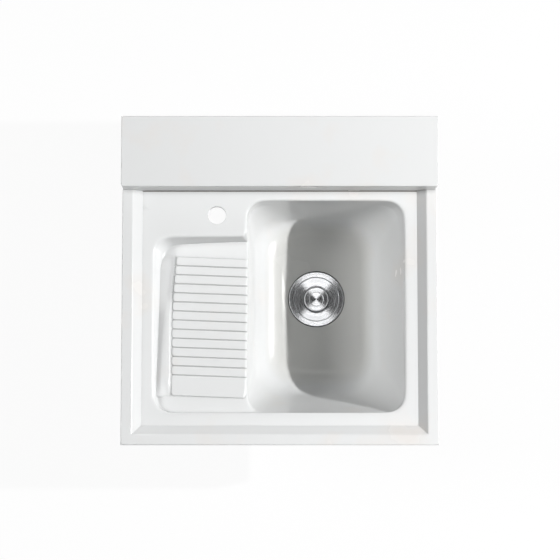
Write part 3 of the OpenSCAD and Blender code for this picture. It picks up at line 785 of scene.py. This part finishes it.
def strip_height(end, back):
    """Height of the strip left of the ribs: a dish and a hollow at the back, a ridge in front."""
    reach = max(0.0, 1.0 + end / COVE)
    top = 0.85 * board_height(mm(6), min(max(back, 0.0), BOARD_L))
    hollow = EDGE_Z + (top - EDGE_Z) * (1.0 - math.sqrt(1.0 - reach ** 2))
    foot = max(0.0, -COVE - end)
    dish = 0.24 * foot * ramp(foot, 0.0, mm(5)) * ramp(back, 0.0, mm(26))
    ridge = RIDGE_Z + mm(1.9) * ramp(end, -mm(1.6), -mm(4.6))
    ridge -= mm(1.3) * ramp(end, -mm(8), -mm(24))
    front = at_front(back)
    return (dish + hollow) * (1.0 - front) + ridge * front


print("ridge", round(strip_height(-mm(4.6), 0.5 * BOARD_L), 4))

# %% [markdown]
# A grid gives the surface its points, and each takes its place from its row and its column.
# Grooves and ribs slope a little across the tray, and at the bowl they bend over the lip
# together. The last column tucks the edge in under the lip.

# %% Washboard: its surface
SLOPE_FROM, GROOVE_SLOPE = mm(-204), math.tan(math.radians(2.2))


def board_point(kind, value, back):
    """The place of a grid point, from its column's kind and value and from its row."""
    y = BOARD_BACK - back
    at_left = board_left(y)
    lip = lip_x(y) - mm(5) * ramp(back, BOARD_L - mm(18), BOARD_L) ** 2
    start = lip - ROLL_R
    if kind == "channel":
        x = at_left - COVE + value * (at_left - wall_foot(y))
    elif kind in ("cove", "end"):
        x = at_left + mm(value)
    elif kind == "rib":
        x = at_left + RIB_END + value * (start - at_left - RIB_END)
    else:
        x = start + ROLL_R * math.sin(math.radians(value))
    y -= (x - SLOPE_FROM) * GROOVE_SLOPE
    end = x - at_left
    outside = max(0.0, -back, back - BOARD_L)
    if kind in ("channel", "cove"):
        height = strip_height(end, back) - 0.5 * outside
    else:
        height = board_height(end, back) if not outside else EDGE_Z - 0.5 * outside
        height = max(height, RIDGE_Z * at_front(back) * ramp(end, mm(4), 0.0))
    drop = 0.0
    if kind == "roll":
        drop = ROLL_R * (1 - math.cos(math.radians(value)))
        if value > 90:
            x, drop = lip - mm(1.5), ROLL_R + mm(7)
    return (x, y, tray_level(y) + height - drop)


bm = bmesh.new()
board = bmesh.ops.create_grid(
    bm, x_segments=len(columns) - 1, y_segments=len(rows) - 1, size=0.5
)["verts"]
for vert in board:
    column = columns[round((vert.co.x + 0.5) * (len(columns) - 1))]
    row = rows[round((0.5 - vert.co.y) * (len(rows) - 1))]
    vert.co = board_point(*column, row)
bmesh.ops.recalc_face_normals(bm, faces=bm.faces)
washboard = finish_piece(bm, "washboard", "unit")


# %% [markdown]
# The strainer, its lid and the lid's knob are pressed and spun from stainless sheet, so each is
# a turned shape. The half outline is drawn as a flat face in the x-z plane, its corners are
# eased by a vertex bevel as a press tool would leave them, and the edges alone are spun once
# round the waste.

# %% A helper for turned pieces
WASTE_AXIS = Vector((WASTE.x, WASTE.y, 0.0))


def turn_outline(outline, steps=96):
    """Spins a closed half outline of (radius, height, easing) in millimetres round the waste."""
    bm = bmesh.new()
    points = [bm.verts.new((mm(r), 0.0, mm(z))) for r, z, ease in outline]
    bm.faces.new(points)
    for point, (_, _, ease) in zip(points, outline):
        if ease:
            ease_corner(bm, point, mm(ease))
    bmesh.ops.delete(bm, geom=bm.faces[:], context="FACES_ONLY")
    on_axis = [e for e in bm.edges if all(v.co.x < SAME for v in e.verts)]
    bmesh.ops.delete(bm, geom=on_axis, context="EDGES")
    bmesh.ops.spin(
        bm, geom=bm.verts[:] + bm.edges[:], axis=(0, 0, 1), cent=(0, 0, 0),
        angle=2 * math.pi, steps=steps, use_merge=True,
    )
    bmesh.ops.remove_doubles(bm, verts=bm.verts, dist=SAME)
    bmesh.ops.recalc_face_normals(bm, faces=bm.faces)
    bmesh.ops.translate(bm, vec=WASTE_AXIS, verts=bm.verts)
    return bm


print("turning axis", [round(v, 4) for v in WASTE_AXIS])

# %% [markdown]
# The strainer cup is one pressing: a flange 109 mm across that lies in the seat, two steps down
# and a flat bottom. The flange's top falls very slightly inwards, so that water runs over it.

# %% Strainer cup
bm = turn_outline([
    (0, -213.5, 0), (39.8, -213.5, 1.5), (39.8, -179.7, 0.6), (42.4, -179.7, 0.8),
    (42.4, -174.7, 0.6), (45, -174.7, 0.8), (45, -165.5, 0.5), (54.5, -165.5, 0.2),
    (54.5, -164.0, 0.5), (53.4, -163.1, 0.8), (44.6, -163.5, 0.6), (43.8, -165.0, 0.5),
    (43.8, -173.5, 0.6), (41.2, -173.5, 0.6), (41.2, -178.5, 0.6), (38.6, -178.5, 0.6),
    (38.6, -212.3, 1.0), (0, -212.3, 0),
])
cup = finish_piece(bm, "strainer", "unit", stands_for=("strainer_cup",))

# %% [markdown]
# The lid is a shallow dish with one long slope from its edge to the knob, and it sits loose in
# the cup. The knob is a round grip with a hollow top and a narrower neck, for two fingers to
# lift by. Both ride on the lid's own body, since they lift off together.

# %% Lid and knob
bm = turn_outline([
    (0, -171.1, 0), (33, -171.1, 0), (40, -168.9, 1.0), (41.5, -171.5, 0.3), (43.3, -171.5, 0.3),
    (43.3, -166.0, 0.5), (41.8, -166.3, 1.0), (32, -168.4, 2.0), (24.8, -168.8, 0),
    (24.2, -169.9, 0), (0, -169.9, 0),
])
lid = finish_piece(bm, "lid_dish", "lid", stands_for=("lid",))

bm = turn_outline([
    (0, -169.9, 0), (9, -169.9, 0), (9, -166.4, 0.8), (24.4, -166.4, 0.4), (24.4, -164.9, 0.6),
    (22.4, -163.4, 0.5), (14.9, -163.1, 0.6), (13.2, -164.1, 0.5), (0, -164.8, 0),
])
knob = finish_piece(bm, "lid_grip", "lid", stands_for=("lid_knob",))

# %% [markdown]
# The rubber ring under the flange is squeezed out into the gap round it, when the strainer is
# drawn down on the stone. It shows as a thin black line round the steel.

# %% Squeezed-out edge of the gasket
bm = turn_outline([
    (54.4, -167.0, 0), (56.2, -167.0, 0), (56.2, -164.9, 0.6), (55.1, -164.9, 0.5),
    (54.4, -165.5, 0),
])
gasket_lip = finish_piece(bm, "gasket_lip", "unit")


# %% [markdown]
# Finishes. A colour is written as the hex value that the eye would pick on screen, and one
# function turns it into the linear light that Blender works in. A pattern's scale is worked out
# from the real size of what it draws. One more function adds a node with its settings and its
# links, whatever its kind.

# %% Helpers for finishes
def colour(hex_code):
    """An sRGB hex colour as linear red, green, blue and alpha."""
    parts = [int(hex_code[i:i + 2], 16) / 255 for i in (1, 3, 5)]
    linear = [p / 12.92 if p <= 0.04045 else ((p + 0.055) / 1.055) ** 2.4 for p in parts]
    return (*linear, 1.0)


def per_metre(size):
    """A pattern's scale from the size of its features in millimetres: how many fit in a metre."""
    return 1 / mm(size)


def add(tree, kind, settings=None, links=None, **fields):
    """Adds a node, fills its sockets and fields, and links what its inputs take."""
    node = tree.nodes.new(kind)
    for name, value in fields.items():
        setattr(node, name, value)
    for socket, value in (settings or {}).items():
        node.inputs[socket].default_value = value
    for socket, source in (links or {}).items():
        tree.links.new(source, node.inputs[socket])
    return node


def new_finish(name):
    """A material with nothing but its output."""
    material = bpy.data.materials.new(name)
    material.use_nodes = True
    material.node_tree.nodes.clear()
    output = material.node_tree.nodes.new("ShaderNodeOutputMaterial")
    return material, material.node_tree, output


WHITE = colour("#FFFFFF")
print("stone's grey in linear light", [round(v, 3) for v in colour("#D7D8D8")])

# %% [markdown]
# Cast quartz composite: nine parts of fine white quartz in resin, cast in a polished mould. To
# the eye it is dense and even, a little warmer in places as wide as a hand, with a close gloss
# that rolls over every lip. The quartz grains are a fraction of a millimetre, too fine to show
# here, so they are drawn as a 2 mm mottle. Painted shade greys the inside corners within 11 mm,
# and painted shade with a faint warm tint makes the bowl's floor slightly darker than its walls.

# %% Finish: cast quartz composite
def cast_quartz():
    """White stone with faint clouds, a fine mottle, painted shade in corners and on the bowl's
    floor, and a close gloss.
    """
    material, tree, output = new_finish("cast quartz composite")
    place = add(tree, "ShaderNodeTexCoord").outputs["Object"]

    # Warmer clouds, nine to a metre, where the mix was a little richer in resin
    clouds = add(tree, "ShaderNodeTexNoise",
                 {"Scale": per_metre(1000 / 9), "Detail": 3.0, "Roughness": 0.5},
                 {"Vector": place})
    warmth = add(tree, "ShaderNodeMapRange", {"From Min": 0.55, "From Max": 0.75},
                 {"Value": clouds.outputs["Fac"]})
    base = add(tree, "ShaderNodeMix", {"A": colour("#D7D8D8"), "B": colour("#D8D5D2")},
               {"Factor": warmth.outputs["Result"]}, data_type="RGBA")

    # Grains, drawn coarser than they are
    grain = add(tree, "ShaderNodeTexNoise", {"Scale": per_metre(2), "Detail": 2.0},
                {"Vector": place})
    speckle = add(tree, "ShaderNodeMapRange", {"To Min": 0.985, "To Max": 1.0},
                  {"Value": grain.outputs["Fac"]})
    mottled = add(tree, "ShaderNodeVectorMath", None,
                  {0: base.outputs["Result"], "Scale": speckle.outputs["Result"]},
                  operation="SCALE")

    # Painted shade in the inside corners: the colour darkens where the AO node finds other
    # surfaces within 11 mm
    corner = add(tree, "ShaderNodeAmbientOcclusion", {"Distance": mm(11)}, samples=8)
    corner_shade = add(tree, "ShaderNodeMapRange",
               {"From Min": 0.35, "From Max": 0.92, "To Min": 0.62, "To Max": 1.0},
               {"Value": corner.outputs["AO"]})
    corner_shaded = add(tree, "ShaderNodeVectorMath", None,
                 {0: mottled.outputs["Vector"], "Scale": corner_shade.outputs["Result"]},
                 operation="SCALE")

    # Painted shade on the bowl's floor, with a faint warm tint, which fades out up the fillet
    height = add(tree, "ShaderNodeSeparateXYZ", None, {0: place}).outputs["Z"]
    floor_shade = add(tree, "ShaderNodeMapRange", {"From Min": mm(-145), "From Max": mm(-159)},
               {"Value": height})
    shaded_base = add(tree, "ShaderNodeMix", {"B": colour("#CFCFCC")},
                 {"A": corner_shaded.outputs["Vector"], "Factor": floor_shade.outputs["Result"]},
                 data_type="RGBA")

    # The gloss is a little duller where the stone is warmer.
    gloss = add(tree, "ShaderNodeMapRange", {"To Min": 0.22, "To Max": 0.30},
                {"Value": clouds.outputs["Fac"]})
    shader = add(tree, "ShaderNodeBsdfPrincipled",
                 {"IOR": 1.5, "Specular IOR Level": 0.35},
                 {"Base Color": shaded_base.outputs["Result"], "Roughness": gloss.outputs["Result"]})
    tree.links.new(shader.outputs["BSDF"], output.inputs["Surface"])
    return material


stone = cast_quartz()
print(stone.name, len(stone.node_tree.nodes), "nodes")

# %% [markdown]
# Spun stainless: the tool leaves fine rings round the axis, so to the eye light streaks across
# them, and the whole strainer shows bright and dark sectors. The sheen spreads along the
# tangent, which is worked out from the place on the piece: the way from the axis. The tool's
# marks are a tenth of a millimetre apart, too fine to show, so their unevenness is drawn 0.7 mm
# wide.

# %% Finish: spun stainless steel
def spun_steel():
    """Grey metal whose sheen is drawn out across the rings that the tool left."""
    material, tree, output = new_finish("spun stainless steel")
    place = add(tree, "ShaderNodeTexCoord").outputs["Object"]
    from_axis = add(tree, "ShaderNodeVectorMath", {1: WASTE_AXIS}, {0: place},
                    operation="SUBTRACT")
    flat = add(tree, "ShaderNodeVectorMath", {1: (1.0, 1.0, 0.0)},
               {0: from_axis.outputs["Vector"]}, operation="MULTIPLY")
    radius = add(tree, "ShaderNodeVectorMath", None, {0: flat.outputs["Vector"]},
                 operation="LENGTH")
    rings = add(tree, "ShaderNodeTexNoise", {"Scale": per_metre(5 / 7), "Detail": 2.0},
                {"W": radius.outputs["Value"]}, noise_dimensions="1D")
    rough = add(tree, "ShaderNodeMapRange", {"To Min": 0.19, "To Max": 0.32},
                {"Value": rings.outputs["Fac"]})
    shader = add(tree, "ShaderNodeBsdfPrincipled",
                 {"Base Color": colour("#D6D7D9"), "Metallic": 1.0, "Anisotropic": 0.9},
                 {"Roughness": rough.outputs["Result"], "Tangent": flat.outputs["Vector"]})
    tree.links.new(shader.outputs["BSDF"], output.inputs["Surface"])
    return material


steel = spun_steel()
print(steel.name, len(steel.node_tree.nodes), "nodes")

# %% [markdown]
# The soft and the hidden pieces. EPDM rubber from a mould is a dull black that swallows light.
# The silicone bead, tooled with a wet finger, is a mid grey with a soft shine. Polypropylene
# pipework is milky white and satin, with the faint orange-peel of its mould. The brass nut is
# turned, a yellow metal with a brushed shine. Each has a tone and a fine unevenness that vary
# over a few millimetres: 3.3 mm for rubber, 4 for the pipework, 2.9 for silicone and 2.5 for
# brass.

# %% Finishes: rubber, silicone, polypropylene and brass
def moulded(name, tint, darker, rough, grain, bump, **settings):
    """A moulded or turned finish: a colour that varies a little and a fine uneven surface."""
    material, tree, output = new_finish(name)
    place = add(tree, "ShaderNodeTexCoord").outputs["Object"]
    noise = add(tree, "ShaderNodeTexNoise", {"Scale": per_metre(grain), "Detail": 3.0},
                {"Vector": place})
    tone = add(tree, "ShaderNodeMix", {"A": colour(tint), "B": colour(darker)},
               {"Factor": noise.outputs["Fac"]}, data_type="RGBA")
    peel = add(tree, "ShaderNodeBump", {"Strength": bump, "Distance": mm(0.3)},
               {"Height": noise.outputs["Fac"]})
    shader = add(tree, "ShaderNodeBsdfPrincipled", {"Roughness": rough, **settings},
                 {"Base Color": tone.outputs["Result"], "Normal": peel.outputs["Normal"]})
    tree.links.new(shader.outputs["BSDF"], output.inputs["Surface"])
    return material


rubber = moulded("moulded EPDM rubber", "#1E1E20", "#28282A", 0.65, grain=10 / 3, bump=0.3)
plastic = moulded("moulded polypropylene", "#E2E2DE", "#D8D8D4", 0.38, grain=4, bump=0.15)
silicone = moulded("tooled grey silicone", "#6E6C68", "#64625E", 0.42, grain=20 / 7, bump=0.2)
brass = moulded("turned brass", "#C8A24C", "#B8903E", 0.28, grain=2.5, bump=0.1, Metallic=1.0)
print("more finishes:", ", ".join(m.name for m in (rubber, plastic, silicone, brass)))

# %% [markdown]
# A piece that was built here takes its finish in its own mesh. The measured nodes that stay in
# sight, such as the basket and the pipework, take theirs on the object, because the measured
# mesh isn't touched.

# %% Give every piece and every measured node its finish
for piece in (casting, rim, front_strip, shelf, washboard):
    piece.data.materials.append(stone)
for piece in (cup, lid, knob):
    piece.data.materials.append(steel)
sealant.data.materials.append(silicone)
gasket_lip.data.materials.append(rubber)
made_of = (
    (stone, ("rear_skirt", "left_skirt", "right_skirt")),
    (steel, ("centre_screw", "basket", "basket_post")),
    (rubber, ("flange_gasket", "lower_gasket", "tail_washer", "lid_seal")),
    (plastic, ("drain_housing", "tailpiece", "coupling_nut")),
    (brass, ("screw_nut",)),
)
for material, names in made_of:
    for name in names:
        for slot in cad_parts[name].material_slots:
            slot.link = "OBJECT"
            slot.material = material
print("finished", sum(len(names) for material, names in made_of), "measured nodes")

# %% [markdown]
# One small hard lamp from the right, like low sun, draws the long shadow across the bowl. A
# large soft lamp from the left fills that shadow, and no mirror sees it, so it leaves no glint
# on the gloss.

# %% Lamps
MIDDLE = Vector(mm(0, -330, 0))


def towards(azimuth, height):
    """The direction to a bearing and an elevation in degrees."""
    turn, rise = math.radians(azimuth), math.radians(height)
    return Vector((math.cos(turn) * math.cos(rise), math.sin(turn) * math.cos(rise),
                   math.sin(rise)))


def lamp(name, azimuth, height, distance, size, power):
    """A round lamp that looks at the middle of the basin, in metres and watts."""
    data = bpy.data.lights.new(name, "AREA")
    data.shape = "DISK"
    data.size = size
    data.energy = power
    way = towards(azimuth, height)
    piece = bpy.data.objects.new(name, data)
    piece.location = MIDDLE + distance * way
    piece.rotation_euler = way.to_track_quat("Z", "Y").to_euler()
    bpy.context.scene.collection.objects.link(piece)
    return piece


key = lamp("key", azimuth=0, height=39.2, distance=3.1, size=0.06, power=111)
fill = lamp("fill", azimuth=180, height=41, distance=3.4, size=1.1, power=68)
fill.visible_glossy = False
for piece in (key, fill):
    print(piece.name, "lamp at", [round(v, 2) for v in piece.location])

# %% [markdown]
# Polished steel shows what stands round it. Over the basin hang four cards that meet in a point
# where the lens is mirrored: dark ones to the left and right, white ones to the front and back.
# The spun rings throw their sheen in and out, so the strainer turns dark at its sides and bright
# above and below, as in the photograph. The white ones start 0.3 m from the point, so that the
# stone's flat faces mirror only the dark. The cards act on mirrored rays alone.

# %% Cards over the basin
POINT = (0.11, 0.06, 2.5)  # where level steel mirrors the lens, in metres
WHITE_FROM, WHITE_TO = 0.3, 1.2  # metres from the point, to the front and to the back
bm = bmesh.new()
bmesh.ops.create_circle(bm, segments=4, radius=3.2, cap_ends=True, cap_tris=True)
square_on = Matrix.Rotation(math.radians(45), 3, "Z")
bmesh.ops.rotate(bm, verts=bm.verts, cent=(0, 0, 0), matrix=square_on)
bmesh.ops.scale(bm, vec=(0.94, 1.05, 1.0), verts=bm.verts)
for away in (-WHITE_TO, -WHITE_FROM, WHITE_FROM, WHITE_TO):
    bmesh.ops.bisect_plane(
        bm, geom=bm.verts[:] + bm.edges[:] + bm.faces[:], dist=SAME,
        plane_co=(0.0, away, 0.0), plane_no=(0.0, 1.0, 0.0),
    )
for face in bm.faces:
    across, along = (abs(v) for v in face.calc_center_median().xy)
    face.material_index = int(max(WHITE_FROM, across) < along < WHITE_TO)
bmesh.ops.translate(bm, vec=POINT, verts=bm.verts)
mesh = bpy.data.meshes.new("cards")
bm.to_mesh(mesh)
bm.free()
cards = bpy.data.objects.new("cards", mesh)
bpy.context.scene.collection.objects.link(cards)
cards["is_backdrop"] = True
cards.visible_camera = cards.visible_diffuse = cards.visible_shadow = False
cards.visible_transmission = False
for name, strength in (("black felt", 0.02), ("white card", 2.8)):
    material, tree, output = new_finish(name)
    shine = add(tree, "ShaderNodeEmission", {"Color": WHITE, "Strength": strength})
    tree.links.new(shine.outputs[0], output.inputs["Surface"])
    cards.data.materials.append(material)
print("cards", [round(v, 2) for v in cards.dimensions])

# %% [markdown]
# The room is dark but for one soft bright patch, low on the right. It lights the upright faces
# and leaves the deep floor grey. The camera, mirrors and glass don't see it: they see plain
# white.

# %% Room
world = bpy.data.worlds.new("room")
bpy.context.scene.world = world
world.use_nodes = True
tree = world.node_tree
tree.nodes.clear()
PATCH_CORE, PATCH_EDGE = math.cos(math.radians(10)), math.cos(math.radians(34))
way = add(tree, "ShaderNodeTexCoord").outputs["Generated"]
facing = add(tree, "ShaderNodeVectorMath", {1: towards(azimuth=0, height=12)}, {0: way},
             operation="DOT_PRODUCT")
patch = add(tree, "ShaderNodeMapRange",
            {"From Min": PATCH_EDGE, "From Max": PATCH_CORE, "To Min": 0.0, "To Max": 1.6},
            {"Value": facing.outputs["Value"]}, interpolation_type="SMOOTHSTEP")
sky = add(tree, "ShaderNodeBackground", {"Color": WHITE}, {"Strength": patch.outputs["Result"]})
paper = add(tree, "ShaderNodeBackground", {"Color": WHITE, "Strength": 1.0})


def looks_straight(tree):
    """1 for rays that show the background: the camera's, mirrored ones and those through glass."""
    rays = add(tree, "ShaderNodeLightPath")
    mirrored = add(tree, "ShaderNodeMath", None,
                   {0: rays.outputs["Is Camera Ray"], 1: rays.outputs["Is Glossy Ray"]},
                   operation="MAXIMUM")
    return add(tree, "ShaderNodeMath", None,
               {0: mirrored.outputs[0], 1: rays.outputs["Is Transmission Ray"]},
               operation="MAXIMUM").outputs[0]


either = add(tree, "ShaderNodeMixShader", None,
             {0: looks_straight(tree), 1: sky.outputs[0], 2: paper.outputs[0]})
world_out = tree.nodes.new("ShaderNodeOutputWorld")
tree.links.new(either.outputs[0], world_out.inputs["Surface"])
bpy.context.scene.view_settings.view_transform = "Standard"
print("room", len(tree.nodes), "nodes")

# %% [markdown]
# The floor is white paper, just below the end of the drain. Its own glow makes it as white as
# the photograph's background, and it keeps a faint shadow.

# %% Floor
OWN_GLOW = 0.93
bm = bmesh.new()
floor_verts = bmesh.ops.create_grid(bm, x_segments=4, y_segments=4, size=4.0)["verts"]
bmesh.ops.translate(bm, vec=(0.0, -0.3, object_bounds()[0].z - mm(0.5)), verts=floor_verts)
mesh = bpy.data.meshes.new("floor")
bm.to_mesh(mesh)
bm.free()
floor = bpy.data.objects.new("floor", mesh)
bpy.context.scene.collection.objects.link(floor)
floor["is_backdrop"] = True
material, tree, output = new_finish("white paper")
matte = add(tree, "ShaderNodeBsdfDiffuse", {"Color": (0.8, 0.8, 0.8, 1.0)})
bright = add(tree, "ShaderNodeEmission", {"Color": WHITE, "Strength": 1.0})
seen = add(tree, "ShaderNodeMath", {1: OWN_GLOW}, {0: looks_straight(tree)},
           operation="MULTIPLY")
blend = add(tree, "ShaderNodeMixShader", None,
            {0: seen.outputs[0], 1: matte.outputs[0], 2: bright.outputs[0]})
tree.links.new(blend.outputs[0], output.inputs["Surface"])
floor.data.materials.append(material)
print("floor at", round(mesh.vertices[0].co.z, 4))
